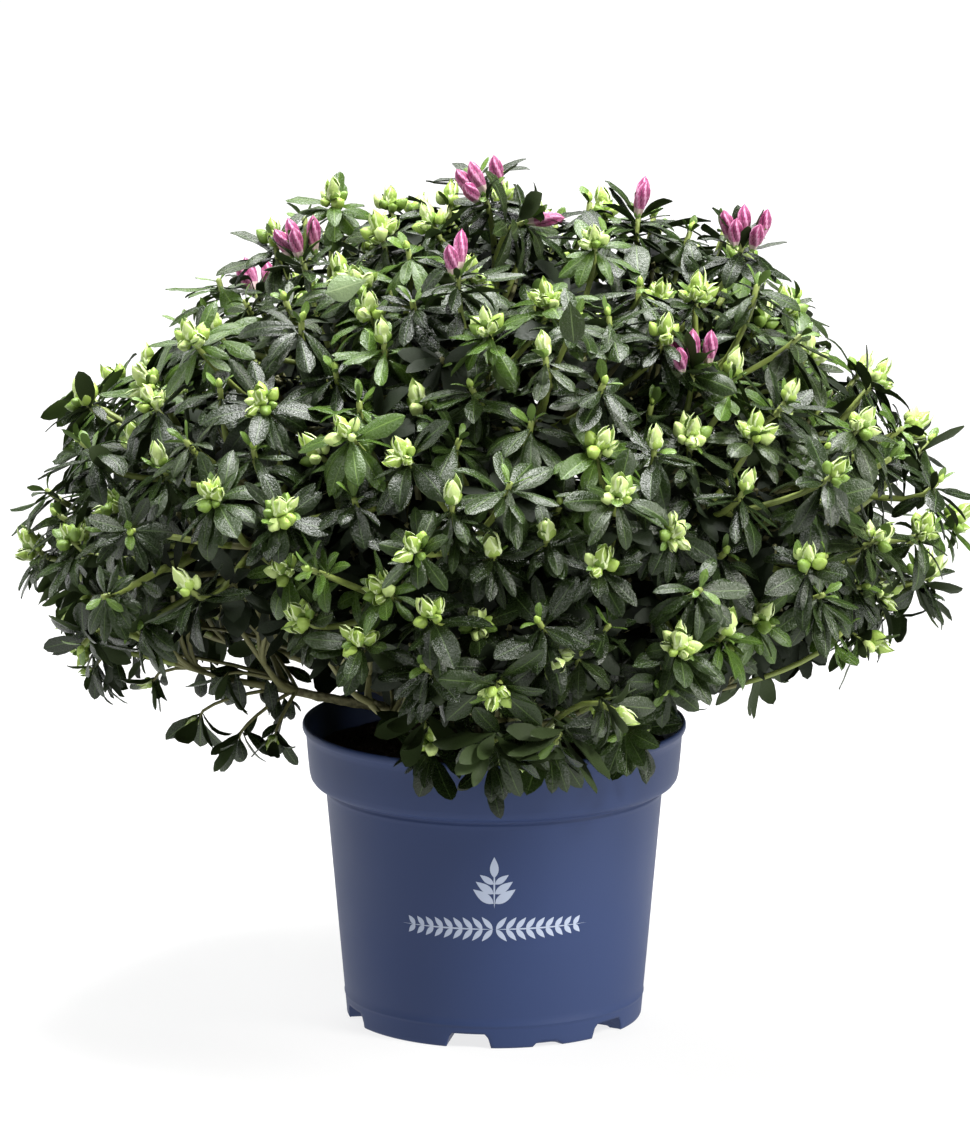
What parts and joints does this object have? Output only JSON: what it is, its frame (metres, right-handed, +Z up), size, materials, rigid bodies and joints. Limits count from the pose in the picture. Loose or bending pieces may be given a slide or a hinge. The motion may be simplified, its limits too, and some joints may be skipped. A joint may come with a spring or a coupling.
{
  "type": "potted azalea shrub",
  "caption": "Young evergreen azalea with a dense low dome of glossy whorled leaves, lime leaf buds and a few pink flower buds, growing in a round blue nursery pot.",
  "frame": {"origin": "centre of the pot's flat underside, where it stands on the ground", "axes": "+Z up; -Y is the front of the shrub; +X is the right-hand side seen from the front"},
  "size_m": [0.5708, 0.5551, 0.5187],
  "materials": {
    "pot_plastic": "satin",
    "potting_soil": "matte",
    "bark": "matte",
    "foliage": "satin",
    "twig": "satin",
    "young_leaf": "satin",
    "leaf_bud": "satin",
    "blossom": "satin"
  },
  "bodies": {
    "root": {"foliage_shoulder_1": "foliage", "foliage_shoulder_2": "foliage", "foliage_shoulder_3": "foliage", "foliage_shoulder_4": "foliage", "foliage_shoulder_5": "foliage", "foliage_shoulder_6": "foliage", "foliage_shoulder_7": "foliage", "foliage_shoulder_8": "foliage", "foliage_skirt_1": "foliage", "foliage_skirt_2": "foliage", "foliage_skirt_3": "foliage", "foliage_skirt_4": "foliage", "foliage_skirt_5": "foliage", "foliage_skirt_6": "foliage", "foliage_skirt_7": "foliage", "foliage_skirt_8": "foliage", "foliage_skirt_9": "foliage", "foliage_top": "foliage", "foliage_upper_1": "foliage", "foliage_upper_2": "foliage", "foliage_upper_3": "foliage", "foliage_upper_4": "foliage", "foliage_upper_5": "foliage", "foliage_upper_6": "foliage", "leader_bough": "bark", "low_bough_1": "bark", "low_bough_2": "bark", "low_bough_3": "bark", "low_bough_4": "bark", "low_bough_5": "bark", "low_bough_6": "bark", "low_bough_7": "bark", "low_bough_8": "bark", "low_bough_9": "bark", "main_bough_1": "bark", "main_bough_2": "bark", "main_bough_3": "bark", "main_bough_4": "bark", "main_bough_5": "bark", "main_bough_6": "bark", "main_bough_7": "bark", "main_bough_8": "bark", "pot": "pot_plastic", "soil": "potting_soil", "stem": "bark", "upper_bough_1": "bark", "upper_bough_2": "bark", "upper_bough_3": "bark", "upper_bough_4": "bark", "upper_bough_5": "bark", "upper_bough_6": "bark"}
  },
  "joints": []
}
